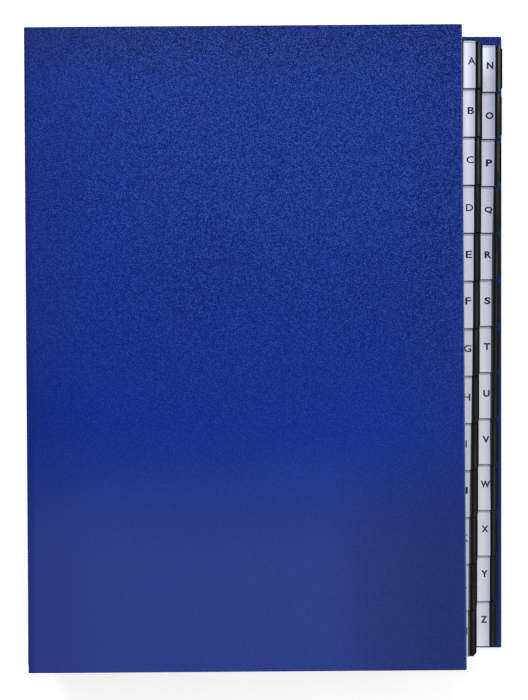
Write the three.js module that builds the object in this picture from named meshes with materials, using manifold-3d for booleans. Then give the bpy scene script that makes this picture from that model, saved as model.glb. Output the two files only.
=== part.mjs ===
// An alphabetical desk file sorter, closed and lying on its back cover.
// Two leatherette-covered board covers hold 26 black card dividers, which a pleated cloth strip joins
// at the spine. Each divider carries one index tab in a white paper sleeve: A to M stand in a first
// column beside the short front cover, N to Z in a second column that reaches further out.
// Millimetres. X runs from the spine to the tabs, Y up the page, Z from the back cover to the front.
// The origin is the middle of the footprint, on the surface that the back cover lies on.
// The soft spine lets the front cover lie slightly turned on the block, so its top leans to the spine.
import * as THREE from "three";
import { mergeVertices } from "three/addons/utils/BufferGeometryUtils.js";
import Module from "manifold-3d";

const wasm = await Module();
wasm.setup();

// Covers
const COVER_HEIGHT = 345;
const FRONT_WIDTH = 234;
const BACK_OVERHANG = 3.6;
const BOARD_THICKNESS = 2;
const SKIN_THICKNESS = 0.3;
const TURN_IN = 16;
const COVER_CORNER_RADIUS = 0.8;
const COVER_EDGE_RADIUS = 0.6;
const CORNER_STEPS = 3;
const LINER_THICKNESS = 0.2;
const LINER_MARGIN = 5;
const FRONT_SKEW_DEGREES = 0.42;

// Dividers and their tabs
const LETTERS = "ABCDEFGHIJKLMNOPQRSTUVWXYZ";
const TABS_PER_COLUMN = 13;
const CARD_THICKNESS = 0.5;
const DIVIDER_CORNER_RADIUS = 3;
const TOP_MARGIN = 7.9;
const BOTTOM_MARGIN = 1.7;
const BODY_SETBACK = 5;
const TAB_LENGTH = 15.4;
const COLUMN_OFFSET = 14.5;
const TAB_GAP = 0.9;
const TAB_ROOT_RADIUS = 1;
const TAB_CHAMFER_X = 1.7;
const TAB_CHAMFER_Y = 2;

// Paper sleeves on the tabs
const SLEEVE_WIDTH = 7.3;
const SLEEVE_WALL = 0.15;
const SLEEVE_INSET = 3.9;

// Pleated spine strip
const PLY = 0.2;
const RIDGE_SPACING = 0.35;
const HINGE_FOLD_RADIUS = 0.275;
const PLEAT_DEPTH = 13;
const FLAP_LENGTH = 19;
const SPINE_INSET = 1;
const STRIP_SETBACK = 1.5;
const FOLD_STEPS = 4;

// Clearances between pieces that lie on each other
const GLUE_GAP = 0.03;
const FOLD_GAP = 0.05;
const LINER_GAP = 3;

// Sizes that follow, with depths measured down from the front cover's face
const DIVIDER_COUNT = LETTERS.length;
const BODY_WIDTH = FRONT_WIDTH - BODY_SETBACK;
const BACK_WIDTH = BODY_WIDTH + COLUMN_OFFSET + TAB_LENGTH + BACK_OVERHANG;
const DIVIDER_HEIGHT = COVER_HEIGHT - TOP_MARGIN - BOTTOM_MARGIN;
const DIVIDER_BOTTOM = BOTTOM_MARGIN - COVER_HEIGHT / 2;
const DIVIDER_TOP = DIVIDER_BOTTOM + DIVIDER_HEIGHT;
const TAB_PITCH = (DIVIDER_HEIGHT + TAB_GAP) / TABS_PER_COLUMN;
const TAB_HEIGHT = TAB_PITCH - TAB_GAP;
const COVER_THICKNESS = BOARD_THICKNESS + 2 * SKIN_THICKNESS;
const RIDGE_RADIUS = CARD_THICKNESS / 2 + FOLD_GAP + PLY / 2;
const VALLEY_RADIUS = RIDGE_SPACING / 2 + PLY / 2;
const DIVIDER_PITCH = 2 * (RIDGE_RADIUS + VALLEY_RADIUS);
const FLAP_DEPTH = COVER_THICKNESS + GLUE_GAP + PLY / 2;
const FIRST_DEPTH = FLAP_DEPTH + 2 * HINGE_FOLD_RADIUS + 2 * VALLEY_RADIUS + RIDGE_RADIUS;
const TOTAL_THICKNESS = 2 * FIRST_DEPTH + (DIVIDER_COUNT - 1) * DIVIDER_PITCH;

const leatherette = new THREE.MeshStandardMaterial({ color: 0x1c3486, roughness: 0.5, metalness: 0 });
const greyBoard = new THREE.MeshStandardMaterial({ color: 0x8d8a84, roughness: 0.95, metalness: 0 });
const linerPaper = new THREE.MeshStandardMaterial({ color: 0x1a1b1d, roughness: 0.85, metalness: 0 });
const blackCard = new THREE.MeshStandardMaterial({ color: 0x17181a, roughness: 0.6, metalness: 0 });
const spineCloth = new THREE.MeshStandardMaterial({ color: 0x121315, roughness: 0.8, metalness: 0 });
const whitePaper = new THREE.MeshStandardMaterial({ color: 0xe9e9f4, roughness: 0.4, metalness: 0 });

const heightAt = (depth) => TOTAL_THICKNESS - depth;

function solidOf(geometry) {
  const bare = geometry.index ? geometry.toNonIndexed() : geometry.clone();
  bare.deleteAttribute("normal");
  bare.deleteAttribute("uv");
  const merged = mergeVertices(bare, 1e-4);
  return new wasm.Manifold(
    new wasm.Mesh({
      numProp: 3,
      vertProperties: merged.attributes.position.array,
      triVerts: new Uint32Array(merged.index.array),
    }),
  );
}

function geometryOf(solid) {
  const made = solid.getMesh();
  const geometry = new THREE.BufferGeometry();
  geometry.setAttribute("position", new THREE.BufferAttribute(made.vertProperties, 3));
  geometry.setIndex(new THREE.BufferAttribute(made.triVerts, 1));
  geometry.computeVertexNormals();
  return geometry;
}

function boxBetween(low, high) {
  const size = new THREE.Vector3().subVectors(high, low);
  const middle = new THREE.Vector3().addVectors(low, high).multiplyScalar(0.5);
  return new THREE.BoxGeometry(size.x, size.y, size.z).translate(middle.x, middle.y, middle.z);
}

// Points on an arc, from its start to its end, with both ends.
function arcPoints(x, y, radius, start, end, steps) {
  const points = [];
  for (let i = 0; i <= steps; i++) {
    const angle = start + ((end - start) * i) / steps;
    points.push(new THREE.Vector2(x + radius * Math.cos(angle), y + radius * Math.sin(angle)));
  }
  return points;
}

function roundedRectangle(left, bottom, right, top, radius, steps) {
  const quarter = Math.PI / 2;
  return new THREE.Shape([
    ...arcPoints(right - radius, bottom + radius, radius, -quarter, 0, steps),
    ...arcPoints(right - radius, top - radius, radius, 0, quarter, steps),
    ...arcPoints(left + radius, top - radius, radius, quarter, 2 * quarter, steps),
    ...arcPoints(left + radius, bottom + radius, radius, 2 * quarter, 3 * quarter, steps),
  ]);
}

// A cover's outline as a plate with round corners, inset by a margin on all its six sides.
function coverPlate(width, low, margin) {
  const half = COVER_HEIGHT / 2 - margin;
  const radius = COVER_CORNER_RADIUS - margin;
  const outline = roundedRectangle(margin, -half, width - margin, half, radius, CORNER_STEPS);
  const depth = COVER_THICKNESS - 2 * margin;
  return new THREE.ExtrudeGeometry(outline, { depth, bevelEnabled: false }).translate(0, 0, low + margin);
}

const part = new THREE.Group();

function addPiece(name, geometry, material) {
  const mesh = new THREE.Mesh(geometry, material);
  mesh.name = name;
  part.add(mesh);
  return mesh;
}

// A cover is a grey board in a leatherette skin, which wraps all four edges and turns in on the inner
// face, so that a window of bare board is left there. A paper liner is glued over the window. The cover
// is turned about its own middle by the skew.
function addCover(side, width, low, innerIsUp, skewDegrees) {
  const half = COVER_HEIGHT / 2;
  const middle = low + COVER_THICKNESS / 2;
  const inner = innerIsUp ? low + COVER_THICKNESS : low;
  const round = COVER_EDGE_RADIUS;
  const inset = COVER_CORNER_RADIUS - round;
  const outline = roundedRectangle(round, round - half, width - round, half - round, inset, CORNER_STEPS);
  const slab = new THREE.ExtrudeGeometry(outline, {
    depth: COVER_THICKNESS - 2 * round,
    bevelThickness: round,
    bevelSize: round,
    bevelSegments: 2,
  });
  slab.translate(0, 0, low + round);
  const window = boxBetween(
    new THREE.Vector3(TURN_IN, TURN_IN - half, innerIsUp ? middle : low - COVER_THICKNESS),
    new THREE.Vector3(width - TURN_IN, half - TURN_IN, innerIsUp ? inner + COVER_THICKNESS : middle),
  );
  const cavity = coverPlate(width, low, SKIN_THICKNESS);
  const skin = geometryOf(solidOf(slab).subtract(solidOf(cavity)).subtract(solidOf(window)));
  const board = coverPlate(width, low, SKIN_THICKNESS + GLUE_GAP);

  const linerLow = innerIsUp ? inner + GLUE_GAP : inner - GLUE_GAP - LINER_THICKNESS;
  const liner = boxBetween(
    new THREE.Vector3(SPINE_INSET + FLAP_LENGTH + LINER_GAP, LINER_MARGIN - half, linerLow),
    new THREE.Vector3(width - LINER_MARGIN, half - LINER_MARGIN, linerLow + LINER_THICKNESS),
  );

  const skew = THREE.MathUtils.degToRad(skewDegrees);
  for (const geometry of [skin, board, liner]) {
    geometry.translate(-width / 2, 0, 0).rotateZ(skew).translate(width / 2, 0, 0);
  }
  addPiece(side + "_cover_skin", skin, leatherette);
  addPiece(side + "_cover_board", board, greyBoard);
  addPiece(side + "_cover_liner", liner, linerPaper);
}

// The outline of one divider, laid flat. Its tab is in the given row, and row 0 is at the top.
function dividerOutline(bodyX, tabX, row) {
  const tabHigh = DIVIDER_TOP - row * TAB_PITCH;
  const tabLow = tabHigh - TAB_HEIGHT;
  const corner = DIVIDER_CORNER_RADIUS;
  const root = TAB_ROOT_RADIUS;
  const quarter = Math.PI / 2;
  const points = [new THREE.Vector2(SPINE_INSET, DIVIDER_BOTTOM)];
  if (row < TABS_PER_COLUMN - 1) {
    points.push(...arcPoints(bodyX - corner, DIVIDER_BOTTOM + corner, corner, -quarter, 0, CORNER_STEPS));
    points.push(...arcPoints(bodyX + root, tabLow - root, root, 2 * quarter, quarter, CORNER_STEPS));
  }
  points.push(new THREE.Vector2(tabX - TAB_CHAMFER_X, tabLow));
  points.push(new THREE.Vector2(tabX, tabLow + TAB_CHAMFER_Y));
  points.push(new THREE.Vector2(tabX, tabHigh - TAB_CHAMFER_Y));
  points.push(new THREE.Vector2(tabX - TAB_CHAMFER_X, tabHigh));
  if (row > 0) {
    points.push(...arcPoints(bodyX + root, tabHigh + root, root, -quarter, -2 * quarter, CORNER_STEPS));
    points.push(...arcPoints(bodyX - corner, DIVIDER_TOP - corner, corner, 0, quarter, CORNER_STEPS));
  }
  points.push(new THREE.Vector2(SPINE_INSET, DIVIDER_TOP));
  return new THREE.Shape(points);
}

// A divider is one sheet of card. Its spine edge lies in a ridge of the pleated strip.
function addDivider(k) {
  const column = Math.floor(k / TABS_PER_COLUMN);
  const row = k % TABS_PER_COLUMN;
  const bodyX = BODY_WIDTH + column * COLUMN_OFFSET;
  const tabX = bodyX + TAB_LENGTH;
  const middle = heightAt(FIRST_DEPTH + k * DIVIDER_PITCH);
  const sheet = new THREE.ExtrudeGeometry(dividerOutline(bodyX, tabX, row), {
    depth: CARD_THICKNESS,
    bevelEnabled: false,
  });
  sheet.translate(0, 0, middle - CARD_THICKNESS / 2);
  addPiece("divider_" + LETTERS[k], sheet, blackCard);
  addSleeve(k, tabX - SLEEVE_INSET, DIVIDER_TOP - row * TAB_PITCH - TAB_HEIGHT / 2, middle);
}

// The index label is a paper sleeve that is closed round the tab.
function addSleeve(k, endX, middleY, middleZ) {
  const innerY = TAB_HEIGHT / 2 + GLUE_GAP;
  const innerZ = CARD_THICKNESS / 2 + GLUE_GAP;
  const outerY = innerY + SLEEVE_WALL;
  const outerZ = innerZ + SLEEVE_WALL;
  const startX = endX - SLEEVE_WIDTH;
  const section = roundedRectangle(-outerZ, middleY - outerY, outerZ, middleY + outerY, SLEEVE_WALL, 1);
  const block = new THREE.ExtrudeGeometry(section, { depth: SLEEVE_WIDTH, bevelEnabled: false });
  block.rotateY(Math.PI / 2);
  block.translate(startX, 0, middleZ);
  const slot = boxBetween(
    new THREE.Vector3(startX - SLEEVE_WIDTH, middleY - innerY, middleZ - innerZ),
    new THREE.Vector3(endX + SLEEVE_WIDTH, middleY + innerY, middleZ + innerZ),
  );
  const band = geometryOf(solidOf(block).subtract(solidOf(slot)));
  addPiece("label_" + LETTERS[k], band, whitePaper);
}

// The folds of the pleated strip, from the front cover to the back one. A ridge is an outer fold, and
// each divider's edge lies in one. A valley is an inner fold between two ridges. The first and last
// ridges are the hinge folds, from which a flap runs in under each cover.
function stripFolds() {
  const folds = [];
  const pushFold = (x, depth, radius, outer) => folds.push({ x, z: heightAt(depth), radius, outer });
  const hingeDepth = FLAP_DEPTH + HINGE_FOLD_RADIUS;
  const endValleyDepth = hingeDepth + HINGE_FOLD_RADIUS + VALLEY_RADIUS;
  const valleyX = SPINE_INSET + PLEAT_DEPTH;
  pushFold(SPINE_INSET, hingeDepth, HINGE_FOLD_RADIUS, true);
  pushFold(valleyX, endValleyDepth, VALLEY_RADIUS, false);
  for (let k = 0; k < DIVIDER_COUNT; k++) {
    const depth = FIRST_DEPTH + k * DIVIDER_PITCH;
    if (k > 0) pushFold(valleyX, depth - DIVIDER_PITCH / 2, VALLEY_RADIUS, false);
    pushFold(SPINE_INSET, depth, RIDGE_RADIUS, true);
  }
  pushFold(valleyX, TOTAL_THICKNESS - endValleyDepth, VALLEY_RADIUS, false);
  pushFold(SPINE_INSET, TOTAL_THICKNESS - hingeDepth, HINGE_FOLD_RADIUS, true);
  return folds;
}

// One face of the strip as a list of points, offset from the middle line by half a ply. The sign is +1
// for the face that is outside the ridges and -1 for the one inside them.
function stripFace(folds, sign) {
  const points = [];
  for (const fold of folds) {
    const radius = fold.radius + (fold.outer ? sign : -sign) * (PLY / 2);
    const end = fold.outer ? 1.5 * Math.PI : -0.5 * Math.PI;
    points.push(...arcPoints(fold.x, fold.z, radius, Math.PI / 2, end, FOLD_STEPS));
  }
  const flapX = SPINE_INSET + FLAP_LENGTH;
  points.unshift(new THREE.Vector2(flapX, points[0].y));
  points.push(new THREE.Vector2(flapX, points[points.length - 1].y));
  return points;
}

function addSpineStrip() {
  const folds = stripFolds();
  const outline = new THREE.Shape([...stripFace(folds, 1), ...stripFace(folds, -1).reverse()]);
  const height = DIVIDER_HEIGHT - 2 * STRIP_SETBACK;
  const strip = new THREE.ExtrudeGeometry(outline, { depth: height, bevelEnabled: false });
  strip.rotateX(Math.PI / 2);
  strip.translate(0, DIVIDER_BOTTOM + STRIP_SETBACK + height, 0);
  addPiece("spine_pleats", strip, spineCloth);
}

addCover("back", BACK_WIDTH, 0, true, 0);
addCover("front", FRONT_WIDTH, heightAt(COVER_THICKNESS), false, FRONT_SKEW_DEGREES);
addSpineStrip();
for (let k = 0; k < DIVIDER_COUNT; k++) addDivider(k);

const footprint = new THREE.Box3().setFromObject(part);
part.position.x = -(footprint.min.x + footprint.max.x) / 2;

export default part;
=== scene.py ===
# %% [markdown]
# # An alphabetical desk file sorter
# Two leatherette covers hold a block of black card dividers. Each divider has an index tab in a paper
# sleeve, and a pleated cloth strip joins them all at the spine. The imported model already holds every
# rigid piece at its real size. This lesson dresses it: finishes for the card, paper and leatherette,
# a thin spine cloth in place of the plain solid, and the printed index letters.

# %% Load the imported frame
import bmesh
import bpy
import math
from mathutils import Matrix, Vector


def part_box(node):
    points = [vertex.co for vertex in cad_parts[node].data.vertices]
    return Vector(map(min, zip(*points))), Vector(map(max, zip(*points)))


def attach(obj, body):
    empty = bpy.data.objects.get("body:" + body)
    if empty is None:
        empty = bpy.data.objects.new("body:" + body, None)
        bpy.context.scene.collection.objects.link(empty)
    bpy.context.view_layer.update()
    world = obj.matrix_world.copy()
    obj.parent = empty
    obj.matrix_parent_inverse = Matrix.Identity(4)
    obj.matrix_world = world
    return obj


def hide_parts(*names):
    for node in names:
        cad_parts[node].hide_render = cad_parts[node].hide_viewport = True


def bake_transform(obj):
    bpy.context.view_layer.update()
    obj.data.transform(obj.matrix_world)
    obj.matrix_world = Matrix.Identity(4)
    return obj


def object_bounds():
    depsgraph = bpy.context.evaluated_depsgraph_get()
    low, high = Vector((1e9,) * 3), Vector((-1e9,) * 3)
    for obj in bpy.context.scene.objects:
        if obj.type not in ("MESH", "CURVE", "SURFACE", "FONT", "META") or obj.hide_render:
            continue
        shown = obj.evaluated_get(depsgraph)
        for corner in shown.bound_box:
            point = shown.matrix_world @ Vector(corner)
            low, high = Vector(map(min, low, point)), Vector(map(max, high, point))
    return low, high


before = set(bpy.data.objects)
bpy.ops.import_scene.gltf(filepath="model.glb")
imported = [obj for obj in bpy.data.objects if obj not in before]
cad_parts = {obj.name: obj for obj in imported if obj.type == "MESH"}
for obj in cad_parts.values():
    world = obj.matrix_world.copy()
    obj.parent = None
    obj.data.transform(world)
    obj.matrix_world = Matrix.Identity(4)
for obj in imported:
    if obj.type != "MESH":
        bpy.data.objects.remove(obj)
cad_low, cad_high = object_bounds()
MM = 0.001
print("nodes:", len(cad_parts), "box mm:", [round(v / MM, 1) for v in (cad_high - cad_low)])

# %% [markdown]
# The camera comes first, because everything is judged in its picture. The photograph looks straight
# down. Its optical axis doesn't pass through the middle of the picture, so the lens is shifted a
# little: that keeps the covers' edges parallel, as they are in the photograph. A tilt would not.

# %% Camera
PICTURE_WIDTH, PICTURE_HEIGHT = 528, 700
SENSOR = 36.0
AXIS_PIXEL = (220.0, 230.0)
PIXELS_PER_MM = 1.8749
CAMERA_HEIGHT = 680.17 * MM
AXIS_FROM_SPINE = 103.49 * MM
AXIS_ABOVE_MIDDLE = 63.33 * MM

front_low, front_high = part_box("front_cover_skin")
back_low, back_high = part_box("back_cover_skin")
camera_data = bpy.data.cameras.new("camera")
camera_data.sensor_fit = "AUTO"
camera_data.sensor_width = SENSOR
camera_data.lens = PIXELS_PER_MM * CAMERA_HEIGHT / MM * SENSOR / PICTURE_HEIGHT
camera_data.shift_x = (PICTURE_WIDTH / 2 - AXIS_PIXEL[0]) / PICTURE_HEIGHT
camera_data.shift_y = (AXIS_PIXEL[1] - PICTURE_HEIGHT / 2) / PICTURE_HEIGHT
camera = bpy.data.objects.new("camera", camera_data)
camera.location = (back_low.x + AXIS_FROM_SPINE, AXIS_ABOVE_MIDDLE, front_high.z + CAMERA_HEIGHT)
bpy.context.collection.objects.link(camera)
bpy.context.scene.camera = camera
bpy.context.scene.view_settings.view_transform = "Standard"
shifts = (camera_data.shift_x, camera_data.shift_y)
print("lens mm:", round(camera_data.lens, 2), "shift:", [round(shift, 3) for shift in shifts])

# %% [markdown]
# A finish is a small program of shader nodes. Plain Python expressions are easier to read than a
# drawing of wires, so one class wraps a socket and turns +, -, * and the rest into Math nodes. A
# second class holds a material and makes every other node with one method.

# %% A socket that does sums
class Value:
    def __init__(self, finish, socket):
        self.finish = finish
        self.socket = socket

    def sum(self, operation, a, b=0.0):
        return self.finish.node("ShaderNodeMath", {"operation": operation}, {0: a, 1: b})

    def __add__(self, other):
        return self.sum("ADD", self, other)

    def __sub__(self, other):
        return self.sum("SUBTRACT", self, other)

    def __rsub__(self, other):
        return self.sum("SUBTRACT", other, self)

    def __mul__(self, other):
        return self.sum("MULTIPLY", self, other)

    def __truediv__(self, other):
        return self.sum("DIVIDE", self, other)

    def __mod__(self, other):
        return self.sum("FLOORED_MODULO", self, other)

    __radd__ = __add__
    __rmul__ = __mul__

    def size(self):
        return self.sum("ABSOLUTE", self)

    def sine(self):
        return self.sum("SINE", self)

    def ramp(self, low, high):
        """0 below low, 1 above high and smooth between them. With low above high it falls."""
        inputs = {"Value": self, "From Min": low, "From Max": high}
        return self.finish.node("ShaderNodeMapRange", {"interpolation_type": "SMOOTHSTEP"}, inputs)


# %% A material that makes its own nodes
def srgb(red, green, blue):
    """A colour as it is read off a screen, from 0 to 255, as Blender's linear numbers."""
    def linear(level):
        level = level / 255
        return level / 12.92 if level <= 0.04045 else ((level + 0.055) / 1.055) ** 2.4
    return (linear(red), linear(green), linear(blue), 1.0)


class Finish:
    def __init__(self, name, **constants):
        self.material = bpy.data.materials.new(name)
        self.material.use_nodes = True
        self.tree = self.material.node_tree
        self.shader = self.tree.nodes["Principled BSDF"]
        for socket, value in constants.items():
            self.shader.inputs[socket.replace("_", " ")].default_value = value

    def node(self, kind, settings, inputs, output=0):
        made = self.tree.nodes.new(kind)
        for key, value in settings.items():
            setattr(made, key, value)
        for key, value in inputs.items():
            if isinstance(value, Value):
                self.tree.links.new(value.socket, made.inputs[key])
            else:
                made.inputs[key].default_value = value
        return Value(self, made.outputs[output])

    def where(self):
        """The point that is being coloured, in Object coordinates."""
        return self.node("ShaderNodeTexCoord", {}, {}, "Object")

    def along(self, where, axis):
        """How far that point lies along one axis, in millimetres."""
        return self.node("ShaderNodeSeparateXYZ", {}, {0: where}, axis) / MM

    def stretch(self, where, scale):
        return self.node("ShaderNodeVectorMath", {"operation": "MULTIPLY"}, {0: where, 1: scale})

    def noise(self, where, per_metre, detail=2.0, rough=0.5, output=0):
        inputs = {"Vector": where, "Scale": per_metre, "Detail": detail, "Roughness": rough}
        return self.node("ShaderNodeTexNoise", {}, inputs, output)

    def mix(self, factor, first, second):
        settings = {"data_type": "RGBA"}
        return self.node("ShaderNodeMix", settings, {0: factor, 6: first, 7: second}, 2)

    def bump(self, height, strength, depth):
        """The depth is in millimetres."""
        inputs = {"Height": height, "Strength": strength, "Distance": depth * MM}
        return self.node("ShaderNodeBump", {}, inputs)

    def wire(self, **links):
        for socket, value in links.items():
            self.tree.links.new(value.socket, self.shader.inputs[socket.replace("_", " ")])
        print("finish", self.material.name, "with", len(self.tree.nodes), "nodes")
        return self.material


# %% [markdown]
# The covers are board in a deep blue leatherette. It is a printed and embossed skin with little gloss:
# a net of fine creases about a millimetre apart. An image of leather would show its repeats, so the net
# comes from a Voronoi texture whose cells are bent by noise. The dark and the bright grain between the
# creases are two finer noises, and the same heights drive the bump. The dark grain is partly the skin's
# colour and partly painted shade, and the bright grain is a painted glint of the lamp. Grain, glint and
# bump are strongest at the top and towards the right, a painted sparkle that follows the lamp, and fade
# to a flatter tone at the bottom. Painted shade darkens the left fold, both sides and the lower right,
# and a painted highlight runs along the right edge. The front cover lies slightly turned, so its edges
# are measured across the turned cover and not along X alone.

# %% Leatherette
FRONT_SKEW = math.radians(0.42)
CREASES_PER_METRE, BENDS_PER_METRE = 820.0, 700.0
GRAIN_PER_METRE, PAINTED_GLINTS_PER_METRE, PATCHES_PER_METRE = 2300, 1500, 9
CREASE_BEND = 1.2 * MM
GRAIN_DEPTH = 0.12
LOW_GLOSS = 0.1

# A look comes in from the first number to the second, in millimetres: up the page or across it from
# the cover's middle, and across it from the left or the right edge.
PAINTED_SPARKLE_UP, SMOOTH_UP, BROW_UP = (-110, 110), (-35, -120), (138, 172)
PAINTED_SPARKLE_ACROSS, LOWER_RIGHT_SHADE_ACROSS = (-100, -20), (40, 75)
FOLD_SHADE_FROM_LEFT, SHADE_FROM_LEFT = (5.0, 1.0), (45, 5)
SHADE_FROM_RIGHT, EDGE_HIGHLIGHT_FROM_RIGHT = (-45, -8), (0.9, 0.3)

DARK_GRAIN_AND_SHADE, PAINTED_GLINT_BLUE = srgb(3, 14, 76), srgb(50, 86, 190)
BROW_BLUE, PAINTED_EDGE_HIGHLIGHT = srgb(18, 36, 84), srgb(84, 102, 150)
LEFT_BLUE, RIGHT_BLUE = srgb(10, 28, 92), srgb(14, 28, 84)


def leatherette(name, low, high, skew, blues):
    """Four blues: two that mottle the upper part at random, the lower part's tone, and that tone on the
    lower right side, painted darker as shade.
    """
    finish = Finish(name, Specular_IOR_Level=LOW_GLOSS)
    where = finish.where()
    y = finish.along(where, "Y")
    middle = (low.x + high.x) / 2 / MM
    half_width = (high.x - low.x) / 2 / MM - abs(math.tan(skew)) * (high.y - low.y) / 2 / MM
    across = (finish.along(where, "X") - middle) + y * math.tan(skew)
    from_left, from_right = across + half_width, across - half_width

    drift = finish.noise(where, BENDS_PER_METRE, output=1)
    reach = (CREASE_BEND, CREASE_BEND, CREASE_BEND)
    settings = {"operation": "MULTIPLY_ADD"}
    bent = finish.node("ShaderNodeVectorMath", settings, {0: drift, 1: reach, 2: where})
    creases = {"Vector": finish.stretch(bent, (1.0, 0.72, 1.0)), "Scale": CREASES_PER_METRE}
    cells = finish.node("ShaderNodeTexVoronoi", {"feature": "DISTANCE_TO_EDGE"}, creases)
    pads = cells.ramp(0.0, 0.22)
    long_grain = finish.stretch(where, (1.35, 1.0, 1.0))
    grain = finish.noise(long_grain, GRAIN_PER_METRE, detail=1.0).ramp(0.40, 0.60)
    # Painted highlight: bright specks where the grain would catch the lamp.
    painted_glints = finish.noise(where, PAINTED_GLINTS_PER_METRE, detail=1.0).ramp(0.42, 0.62)
    patches = finish.noise(where, PATCHES_PER_METRE).ramp(0.35, 0.65)

    # Painted sparkle: grain, bright specks and bump are strongest at the top right, towards the lamp,
    # and fade away from it.
    grain_and_painted_sparkle = (0.2 + 0.8 * y.ramp(*PAINTED_SPARKLE_UP)) * (0.75 + 0.25 * across.ramp(*PAINTED_SPARKLE_ACROSS))
    smooth = y.ramp(*SMOOTH_UP)
    deep, pale, lower_blue, lower_right_shaded_blue = [srgb(*blue) for blue in blues]
    # The lower part has a flatter tone, painted darker as shade on its right side.
    lower_blue = finish.mix(across.ramp(*LOWER_RIGHT_SHADE_ACROSS), lower_blue, lower_right_shaded_blue)
    tone = finish.mix(smooth, finish.mix(patches, deep, pale), lower_blue)
    tone = finish.mix(y.ramp(*BROW_UP) * 0.8, tone, BROW_BLUE)
    tone = finish.mix(from_right.ramp(*SHADE_FROM_RIGHT) * 0.25, tone, RIGHT_BLUE)
    # The dark grain is partly the skin's own colour and partly painted shade of its facets.
    dark = finish.mix(grain_and_painted_sparkle * (1 - grain), tone, DARK_GRAIN_AND_SHADE)
    color = finish.mix(grain_and_painted_sparkle * grain * painted_glints * 0.9, dark, PAINTED_GLINT_BLUE)
    # Painted shade on the left fold and along the left side.
    left = from_left.ramp(*FOLD_SHADE_FROM_LEFT) + from_left.ramp(*SHADE_FROM_LEFT) * 0.4
    color = finish.mix(left * 0.4, color, LEFT_BLUE)
    # A painted highlight along the rounded right edge, where it catches the lamp.
    color = finish.mix(from_right.size().ramp(*EDGE_HIGHLIGHT_FROM_RIGHT) * 0.75, color, PAINTED_EDGE_HIGHLIGHT)
    height = pads * 0.6 + grain * 0.5 + drift * 0.2
    return finish.wire(
        Base_Color=color,
        Roughness=0.6 - pads * 0.14 + smooth * 0.12,
        Normal=finish.bump(height * grain_and_painted_sparkle, strength=0.5, depth=GRAIN_DEPTH),
    )


# %% [markdown]
# The dividers are black pressed card, a little glossy from its calendering, with faint fibres. Past the
# paper sleeve each tab has a stiffened end; the pale line where it catches the light is a painted
# highlight. The line follows the tab's end, is broken by noise and is brightest at the top of the page,
# towards the lamp. A painted shadow lies beside each label's edge, and the tab's very end is painted in
# shade. The two columns end at different places, so the finish is made once for each.

# %% Black card
# Places in from the tab's end, and half widths, in millimetres.
LABEL_SHADOW_IN, LABEL_SHADOW_SOFT, LABEL_SHADOW_FULL = 3.0, 0.65, 0.2
LINE_IN, LINE_SOFT, LINE_FULL = 1.8, 0.62, 0.2
END_SOFT, END_FULL = 0.8, 0.3
TOWARDS_LAMP_UP = (70, 130)
FIBRE_DEPTH = 0.04


def black_card(name, tab_end):
    finish = Finish(name, Specular_IOR_Level=LOW_GLOSS)
    where = finish.where()
    inwards = tab_end - finish.along(where, "X")
    fibres = finish.noise(finish.stretch(where, (1.0, 0.25, 1.0)), per_metre=1900, detail=3.0, rough=0.7)
    mottle = finish.noise(where, per_metre=60)
    plain = finish.mix(mottle, srgb(17, 19, 21), srgb(26, 28, 30))
    # A painted shadow beside the label's edge, and painted shade at the tab's very end.
    label_shadow = (inwards - LABEL_SHADOW_IN).size().ramp(LABEL_SHADOW_SOFT, LABEL_SHADOW_FULL)
    shade = (label_shadow * 0.7 + inwards.ramp(END_SOFT, END_FULL) * 0.8).ramp(0.0, 1.0)
    plain = finish.mix(shade, plain, srgb(9, 10, 11))
    # A painted highlight along the tab's stiffened end, brightest towards the lamp at the top.
    line = (inwards - LINE_IN).size().ramp(LINE_SOFT, LINE_FULL)
    broken = 0.25 + 0.75 * finish.noise(where, per_metre=45).ramp(0.35, 0.7)
    towards_lamp = 0.35 + 0.65 * finish.along(where, "Y").ramp(*TOWARDS_LAMP_UP)
    return finish.wire(
        Base_Color=finish.mix(line * broken * towards_lamp, plain, srgb(84, 89, 86)),
        Roughness=0.5 + 0.2 * fibres - 0.1 * line,
        Normal=finish.bump(fibres, strength=0.2, depth=FIBRE_DEPTH),
    )


# %% [markdown]
# A label is white paper under a clear film. The film is crowned, so the side towards the tab's end
# turns from the lamp: it is painted in shade, lavender grey, and the paper is painted with more shade
# higher up the page. The fold at the top of each sleeve is painted as a grey band of shade. The sleeves
# repeat with the tab pitch, so one remainder gives the distance from the top of any tab. The slips
# inside are narrower than their sleeves, so black card shows as a dark edge on both sides.

# %% Label paper
LABEL_INSET, LABEL_WIDTH, SLIP_SLACK = 3.9, 7.3, 0.85
PAPER_SHADE_UP = (150, -60)
FILM_DEPTH = 0.05
first_label_low, first_label_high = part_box("label_A")
second_label_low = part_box("label_B")[0]
TAB_PITCH = (first_label_low.y - second_label_low.y) / MM
print("tab pitch mm:", round(TAB_PITCH, 2))


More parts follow.
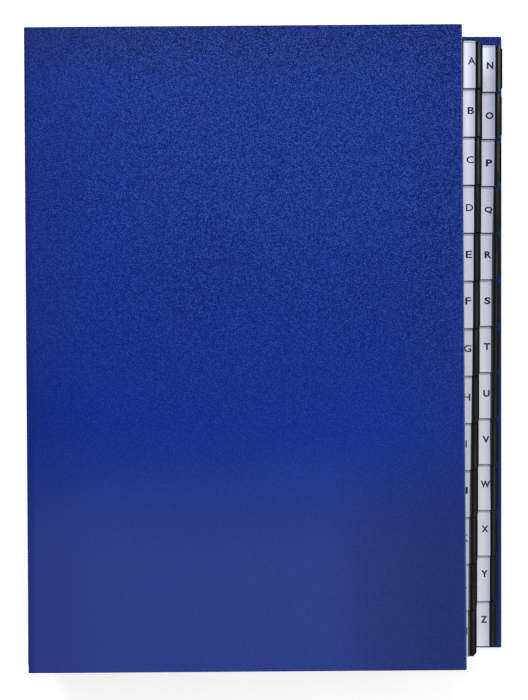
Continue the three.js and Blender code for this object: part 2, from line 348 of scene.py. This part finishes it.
def label_paper(name, label_end, margin, loose, top_colors, bottom_colors):
    """Each pair of colours is the lit side and the side in shade, at the top and the bottom. The margin
    is the dark edge beside the slips, in millimetres. Loose is the height up the page where the slips
    leave most room at the tab's end, and the two distances from it between which that room opens."""
    finish = Finish(name, Specular_IOR_Level=0.3)
    where = finish.where()
    y = finish.along(where, "Y")
    across = (label_end - finish.along(where, "X")) / LABEL_WIDTH
    low = y.ramp(*PAPER_SHADE_UP)
    pairs = zip(top_colors, bottom_colors)
    lit, shaded = [finish.mix(low, srgb(*top), srgb(*bottom)) for top, bottom in pairs]
    base = finish.mix(across.ramp(-0.12, 0.95), shaded, lit)
    drop = (first_label_high.y / MM - y + 2 * TAB_PITCH) % TAB_PITCH
    # Painted shade along the fold at the top of each sleeve.
    fold = drop.ramp(1.5, 0.7) * drop.ramp(0.1, 0.4)
    fibres = finish.noise(where, per_metre=2400, detail=3.0, rough=0.6)
    cloud = finish.noise(finish.stretch(where, (1.0, 0.3, 1.0)), per_metre=120)
    color = finish.mix(cloud * 0.15, base, srgb(250, 250, 255))
    color = finish.mix(fold * 0.7 + fibres * 0.04, color, srgb(140, 140, 152))
    centre, far, near = loose
    slack = (y - centre).size().ramp(far, near) * (SLIP_SLACK / LABEL_WIDTH)
    inner_edge = across.ramp(1 - margin / LABEL_WIDTH, 1.02 - margin / LABEL_WIDTH)
    edge = inner_edge + (slack - across).ramp(-0.01, 0.01)
    return finish.wire(
        Base_Color=finish.mix(edge * 0.9, color, srgb(16, 20, 28)),
        Roughness=0.34 + 0.12 * fibres,
        Normal=finish.bump(fibres * 0.3 + cloud, strength=0.12, depth=FILM_DEPTH),
    )


# %% [markdown]
# What is inside shows when a cover is opened: raw grey board at the edges of the turn-in, a black paper
# liner, and the book cloth of the spine. The cloth is a plain weave, so its height is two sine waves at
# right angles. They fade into noise, because a real thread isn't perfectly even.

# %% Board and liner
def grey_board():
    finish = Finish("raw_grey_board")
    where = finish.where()
    fibres = finish.noise(finish.stretch(where, (1.0, 0.3, 1.0)), per_metre=900, detail=4.0, rough=0.7)
    flecks = finish.noise(where, per_metre=2600, detail=1.0).ramp(0.62, 0.72)
    color = finish.mix(fibres, srgb(124, 120, 113), srgb(158, 154, 146))
    return finish.wire(
        Base_Color=finish.mix(flecks * 0.5, color, srgb(80, 76, 72)),
        Roughness=0.85 + 0.1 * fibres,
        Normal=finish.bump(fibres, strength=0.4, depth=0.1),
    )


def liner_paper():
    finish = Finish("black_liner_paper")
    where = finish.where()
    fibres = finish.noise(where, per_metre=1500, detail=4.0, rough=0.7)
    mottle = finish.noise(where, per_metre=45, detail=3.0)
    return finish.wire(
        Base_Color=finish.mix(mottle * 0.6 + fibres * 0.4, srgb(24, 25, 28), srgb(40, 41, 44)),
        Roughness=0.75 + 0.15 * fibres,
        Normal=finish.bump(fibres, strength=0.3, depth=0.05),
    )


# %% Spine cloth and printing ink
THREADS_PER_MM = 2.2


def spine_cloth():
    finish = Finish("black_book_cloth", Specular_IOR_Level=0.3)
    where = finish.where()
    x, y, z = [finish.along(where, axis) for axis in "XYZ"]
    turn = 2 * math.pi * THREADS_PER_MM
    weave = (y * turn).sine() * ((x + z) * turn).sine() * 0.5 + 0.5
    slub = finish.noise(finish.stretch(where, (1.0, 0.15, 1.0)), per_metre=1400, detail=3.0, rough=0.6)
    return finish.wire(
        Base_Color=finish.mix(weave * 0.6 + slub * 0.4, srgb(14, 15, 17), srgb(36, 37, 40)),
        Roughness=0.7 + 0.2 * slub,
        Normal=finish.bump(weave + slub, strength=0.4, depth=0.08),
    )


def printing_ink():
    finish = Finish("dark_index_ink")
    wear = finish.noise(finish.where(), per_metre=3200)
    return finish.wire(
        Base_Color=finish.mix(wear.ramp(0.45, 0.75), srgb(11, 12, 32), srgb(36, 38, 62)),
        Roughness=0.45 + 0.2 * wear,
    )


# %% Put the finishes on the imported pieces
LETTERS = "ABCDEFGHIJKLMNOPQRSTUVWXYZ"
TAB_ROWS = 13


def dress(node, material):
    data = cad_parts[node].data
    data.materials.clear()
    data.materials.append(material)


front_blue = leatherette(
    "front_leatherette", front_low, front_high, skew=FRONT_SKEW,
    blues=((6, 36, 129), (12, 43, 137), (40, 58, 131), (34, 49, 108)),
)
# The back cover is the same leatherette, painted darker as the shade it lies in under the block.
back_shaded_blue = leatherette(
    "back_leatherette_painted_darker", back_low, back_high, skew=0.0,
    blues=((14, 32, 84), (18, 38, 94), (26, 42, 92), (22, 38, 82)),
)
board, liner = grey_board(), liner_paper()
for side, blue in (("front", front_blue), ("back", back_shaded_blue)):
    dress(side + "_cover_skin", blue)
    dress(side + "_cover_board", board)
    dress(side + "_cover_liner", liner)

column_ends = [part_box("divider_" + letter)[1].x / MM for letter in "AN"]
card = [black_card("black_card_" + str(i), end) for i, end in enumerate(column_ends)]
paper = [
    label_paper(
        "label_paper_0", column_ends[0] - LABEL_INSET, margin=1.0, loose=(-160, 180, 50),
        top_colors=((234, 236, 255), (158, 159, 188)),
        bottom_colors=((250, 250, 255), (196, 196, 218)),
    ),
    label_paper(
        "label_paper_1", column_ends[1] - LABEL_INSET, margin=0.4, loose=(0, 110, 50),
        top_colors=((232, 235, 255), (138, 140, 178)),
        bottom_colors=((244, 243, 255), (178, 178, 206)),
    ),
]
for k, letter in enumerate(LETTERS):
    dress("divider_" + letter, card[k // TAB_ROWS])
    dress("label_" + letter, paper[k // TAB_ROWS])
print("tab ends mm:", [round(end, 1) for end in column_ends])

# %% [markdown]
# The spine is one strip of cloth in narrow pleats. Each divider's edge lies in a ridge, and the strip
# dives between two ridges to a valley. It could be drawn as a long zigzag outline, but a fold is a
# turned point: the last point of the thread is spun half a turn about the fold's centre, then pulled
# straight along the next ply. Then the whole thread is pulled out along the spine and thickened.

# %% Fold a thread of cloth
CARD, FOLD_GAP, PLY, RIDGE_SPACING = 0.5, 0.05, 0.2, 0.35
RIDGE = CARD / 2 + FOLD_GAP + PLY / 2
VALLEY = (RIDGE_SPACING + PLY) / 2
HINGE_FOLD = 0.275
PLEAT_DEPTH = 13.0
SPINE_INSET = 1.0
FLAP = 19.0
GLUE = 0.03
FOLD_STEPS = 8

spine_x = back_low.x / MM + SPINE_INSET
total = cad_high.z / MM
cover_thickness = (front_high.z - front_low.z) / MM
flap_depth = cover_thickness + GLUE + PLY / 2


def start_thread(x, depth):
    """Starts at a depth below the front cover's face, in millimetres as all of the thread is."""
    thread = bmesh.new()
    thread.verts.new((x, 0.0, total - depth))
    return thread


def last_point(thread):
    thread.verts.ensure_lookup_table()
    return thread.verts[-1]


def pull(thread, x):
    """Pulls the end of the thread straight along X to the given place."""
    tip = last_point(thread)
    made = bmesh.ops.extrude_vert_indiv(thread, verts=[tip])["verts"]
    bmesh.ops.translate(thread, verts=made, vec=(x - tip.co.x, 0, 0))


def turn_round(thread, radius, outwards):
    """Spins the end half a turn downwards, round a ridge or a valley."""
    tip = last_point(thread)
    centre = tip.co - Vector((0, 0, radius))
    bmesh.ops.spin(
        thread, geom=[tip], cent=centre, axis=(0, 1, 0), angle=-math.pi if outwards else math.pi,
        steps=FOLD_STEPS, use_duplicate=False,
    )


# %% Pull a thread out into cloth
WEAVE_ROWS = 12
cloth_low, cloth_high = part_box("spine_pleats")
cloth_height = cloth_high.y - cloth_low.y


def pull_out(thread):
    """Pulls the whole thread out along the spine, in even rows."""
    bmesh.ops.translate(thread, verts=thread.verts[:], vec=(0, cloth_low.y / MM, 0))
    edges = thread.edges[:]
    for _ in range(WEAVE_ROWS):
        made = bmesh.ops.extrude_edge_only(thread, edges=edges)["geom"]
        moved = [piece for piece in made if isinstance(piece, bmesh.types.BMVert)]
        edges = [piece for piece in made if isinstance(piece, bmesh.types.BMEdge)]
        edges = [edge for edge in edges if all(v in moved for v in edge.verts)]
        bmesh.ops.translate(thread, verts=moved, vec=(0, cloth_height / MM / WEAVE_ROWS, 0))
    bmesh.ops.recalc_face_normals(thread, faces=thread.faces[:])


def make_cloth(thread, name):
    """Gives the cloth as a smooth object one ply thick, and the thread's length in millimetres."""
    length = sum(edge.calc_length() for edge in thread.edges)
    pull_out(thread)
    bmesh.ops.scale(thread, verts=thread.verts[:], vec=(MM, MM, MM))
    for face in thread.faces:
        face.smooth = True
    mesh = bpy.data.meshes.new(name)
    thread.to_mesh(mesh)
    thread.free()
    piece = bpy.data.objects.new(name, mesh)
    bpy.context.collection.objects.link(piece)
    wall = piece.modifiers.new("ply", "SOLIDIFY")
    wall.thickness = PLY * MM
    wall.offset = 0.0
    print(name, "thread mm:", round(length, 1), "faces:", len(mesh.polygons))
    return piece, length


# %% [markdown]
# The middle of the strip rides on the block. Its two ends are separate pieces, because in the sorter
# each one bends when a cover opens: the flap stays glued to the cover and the return ply stays with the
# block, and only the hinge fold between them turns. Here the two ends are left where they are made.

# %% The pleats and the two flaps
valley_x = spine_x + PLEAT_DEPTH
end_valley_depth = flap_depth + 2 * HINGE_FOLD
pleats = start_thread(valley_x, end_valley_depth)
for _ in LETTERS:
    turn_round(pleats, VALLEY, False)
    pull(pleats, spine_x)
    turn_round(pleats, RIDGE, True)
    pull(pleats, valley_x)
turn_round(pleats, VALLEY, False)
pleats_piece, pleats_width = make_cloth(pleats, "spine_pleats_cloth")

front_thread = start_thread(spine_x + FLAP, flap_depth)
pull(front_thread, spine_x)
turn_round(front_thread, HINGE_FOLD, True)
pull(front_thread, valley_x)
front_flap, flap_width = make_cloth(front_thread, "front_hinge_cloth")

back_thread = start_thread(valley_x, total - end_valley_depth)
pull(back_thread, spine_x)
turn_round(back_thread, HINGE_FOLD, True)
pull(back_thread, spine_x + FLAP)
back_flap, _ = make_cloth(back_thread, "back_hinge_cloth")

# %% [markdown]
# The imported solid's flaps end a little before the liners. In the real sorter the liner covers the
# flap's end, so each flap's last row of points is moved to the liner's edge, along its own slant.

# %% Bring the flaps to the liners
LINER_SEAM = 0.35
flap_widths = {}
for side, flap, skew in (("front", front_flap, FRONT_SKEW), ("back", back_flap, 0.0)):
    liner_low, liner_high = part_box(side + "_cover_liner")
    seam = liner_low.x + math.tan(skew) * (liner_high.y - liner_low.y) / 2 - LINER_SEAM * MM
    ends = [v for v in flap.data.vertices if v.co.x > (spine_x + FLAP - LINER_SEAM) * MM]
    for v in ends:
        v.co.x = seam - v.co.y * math.tan(skew)
    flap_widths[side] = flap_width + seam / MM - spine_x - FLAP
    print(side, "flap reaches mm:", round(seam / MM - spine_x, 2), "moved points:", len(ends))

# %% Give the cloth its finish and join its middle to the block
cloth = spine_cloth()
for piece in (pleats_piece, front_flap, back_flap):
    piece.data.materials.append(cloth)
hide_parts("spine_pleats")
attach(pleats_piece, "block")
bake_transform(front_flap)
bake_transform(back_flap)

# %% [markdown]
# The cloth is one folded strip, here in three sheets. Each one's flat width is
# the length of its thread, and its flat length is the height of the strip.

# %% The cloth's flat sizes
pleats_width * MM
flap_widths["front"] * MM
flap_widths["back"] * MM
print("flap widths mm:", [round(width, 1) for width in flap_widths.values()])
print("cloth height mm:", round(cloth_height / MM, 1))

# %% [markdown]
# Each label carries one printed letter. Blender's own plain sans-serif is close to the photograph's
# letters. The text is made a mesh first, and then measured, scaled to the capital height and laid a
# hair above the paper. The letters are printed on slips that were pushed into the sleeves by hand, so
# each sits at its own height, above and right of its label's middle.

# %% Printed letters
CAP_HEIGHT = 3.9
INK_HEIGHT = 0.02
CURVE_STEPS = 3
# For each column in mm: how far right of the label's middle, how much more with each row, how far up,
# and how much thicker the strokes are, in the typed letter's own units.
COLUMN_STYLES = ((1.6, -0.1, 1.9, 0.02), (0.7, 0.0, 1.4, 0.04))
# How much further up each slip lies, in mm.
SLIP_HEIGHTS = (
    0.1, -0.6, -1.1, -1.0, -0.4, 0.3, 0.2, -0.4, -0.3, -0.2, -0.5, -0.5, -0.5,
    0.3, -1.3, -1.4, -1.5, -0.4, -0.1, 0.2, -0.2, -0.2, 0.4, 0.9, 1.3, 1.1,
)
# Each letter's width, as a percentage of the capital height.
LETTER_WIDTHS = (
    105, 92, 104, 100, 90, 83, 107, 94, 19, 65, 96, 76, 108,
    94, 112, 91, 112, 100, 94, 95, 94, 102, 136, 102, 100, 92,
)
ink = printing_ink()


def typed_mesh(letter, spread):
    """A flat mesh of the letter, with the size and place that Blender types it in."""
    text = bpy.data.curves.new("text_" + letter, "FONT")
    text.body = letter
    text.resolution_u = CURVE_STEPS
    text.offset = spread
    typed = bpy.data.objects.new("typed_" + letter, text)
    bpy.context.collection.objects.link(typed)
    bpy.context.view_layer.update()
    mesh = bpy.data.meshes.new_from_object(typed)
    bpy.data.objects.remove(typed)
    return mesh


def print_letter(letter, percent, right, up, spread):
    """Right and up are in millimetres, from the middle of the letter's label."""
    mesh = typed_mesh(letter, spread)
    low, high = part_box("label_" + letter)
    xs = [v.co.x for v in mesh.vertices]
    ys = [v.co.y for v in mesh.vertices]
    tall = CAP_HEIGHT * MM / (max(ys) - min(ys))
    wide = CAP_HEIGHT * MM * percent / 100 / (max(xs) - min(xs))
    typed_middle = Vector(((max(xs) + min(xs)) / 2, (max(ys) + min(ys)) / 2, 0))
    label_middle = Vector(((low.x + high.x) / 2, (low.y + high.y) / 2, high.z))
    spot = label_middle + Vector((right, up, INK_HEIGHT)) * MM
    mesh.transform(
        Matrix.Translation(spot)
        @ Matrix.Diagonal((wide, tall, 1, 1))
        @ Matrix.Translation(-typed_middle)
    )
    mesh.materials.clear()
    mesh.materials.append(ink)
    piece = bpy.data.objects.new("letter_" + letter, mesh)
    bpy.context.collection.objects.link(piece)
    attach(piece, "block")
    return len(mesh.polygons)


faces = 0
for k, (letter, percent) in enumerate(zip(LETTERS, LETTER_WIDTHS)):
    column, row = divmod(k, TAB_ROWS)
    right, drift, up, spread = COLUMN_STYLES[column]
    faces += print_letter(letter, percent, right + drift * row, up + SLIP_HEIGHTS[k], spread)
print("letter faces:", faces)

# %% [markdown]
# The sorter lies on a plain white sheet under one large soft lamp above the top left and a weak fill.
# The sheet is a diffuse floor that keeps the object's shadow. A little light that only the camera and
# reflections see lifts it to the photograph's white.

# %% Floor
FLOOR_SIZE = 12.0
FLOOR_DROP = 0.3 * MM
FLOOR_LIFT = 0.36


def white_floor():
    finish = Finish(
        "white_sheet", Base_Color=(0.9, 0.9, 0.9, 1), Roughness=0.9,
        Specular_IOR_Level=0.1, Emission_Color=(1, 1, 1, 1),
    )
    seen = finish.node("ShaderNodeLightPath", {}, {}, "Is Camera Ray")
    mirrored = finish.node("ShaderNodeLightPath", {}, {}, "Is Glossy Ray")
    return finish.wire(Emission_Strength=(seen + mirrored) * FLOOR_LIFT)


sheet = bmesh.new()
bmesh.ops.create_grid(sheet, x_segments=1, y_segments=1, size=FLOOR_SIZE / 2)
sheet_mesh = bpy.data.meshes.new("floor")
sheet.to_mesh(sheet_mesh)
sheet.free()
sheet_mesh.materials.append(white_floor())
floor = bpy.data.objects.new("floor", sheet_mesh)
floor.location.z = cad_low.z - FLOOR_DROP
bpy.context.collection.objects.link(floor)

# %% [markdown]
# The white world fills the shadows. Black card and deep blue would mirror it as a grey veil, so glossy
# rays meet a much weaker world than the one that lights the object.

# %% Lamps and world
SKY_STRENGTH, SKY_REFLECTED = 0.45, 0.04
# Each lamp's place and size in metres, and its power in watts.
LAMPS = {
    "key": ((-0.35, 1.05, 1.15), (0.9, 0.6), 17.5),
    "fill": ((0.9, -0.9, 1.2), (1.2, 1.2), 12.0),
}
for name, (spot, size, power) in LAMPS.items():
    data = bpy.data.lights.new(name, "AREA")
    data.shape = "RECTANGLE"
    data.size, data.size_y = size
    data.energy = power
    lamp = bpy.data.objects.new(name, data)
    lamp.location = spot
    lamp.rotation_euler = (-Vector(spot)).to_track_quat("-Z", "Y").to_euler()
    bpy.context.collection.objects.link(lamp)

world = bpy.data.worlds.new("studio")
world.use_nodes = True
sky = world.node_tree.nodes["Background"]
sky.inputs["Color"].default_value = (1, 1, 1, 1)
path = world.node_tree.nodes.new("ShaderNodeLightPath")
dim = world.node_tree.nodes.new("ShaderNodeMapRange")
dim.inputs["To Min"].default_value = SKY_STRENGTH
dim.inputs["To Max"].default_value = SKY_REFLECTED
world.node_tree.links.new(path.outputs["Is Glossy Ray"], dim.inputs["Value"])
world.node_tree.links.new(dim.outputs["Result"], sky.inputs["Strength"])
bpy.context.scene.world = world
print("lamps:", ", ".join(LAMPS), "sky:", SKY_STRENGTH, "mirrored as:", SKY_REFLECTED)
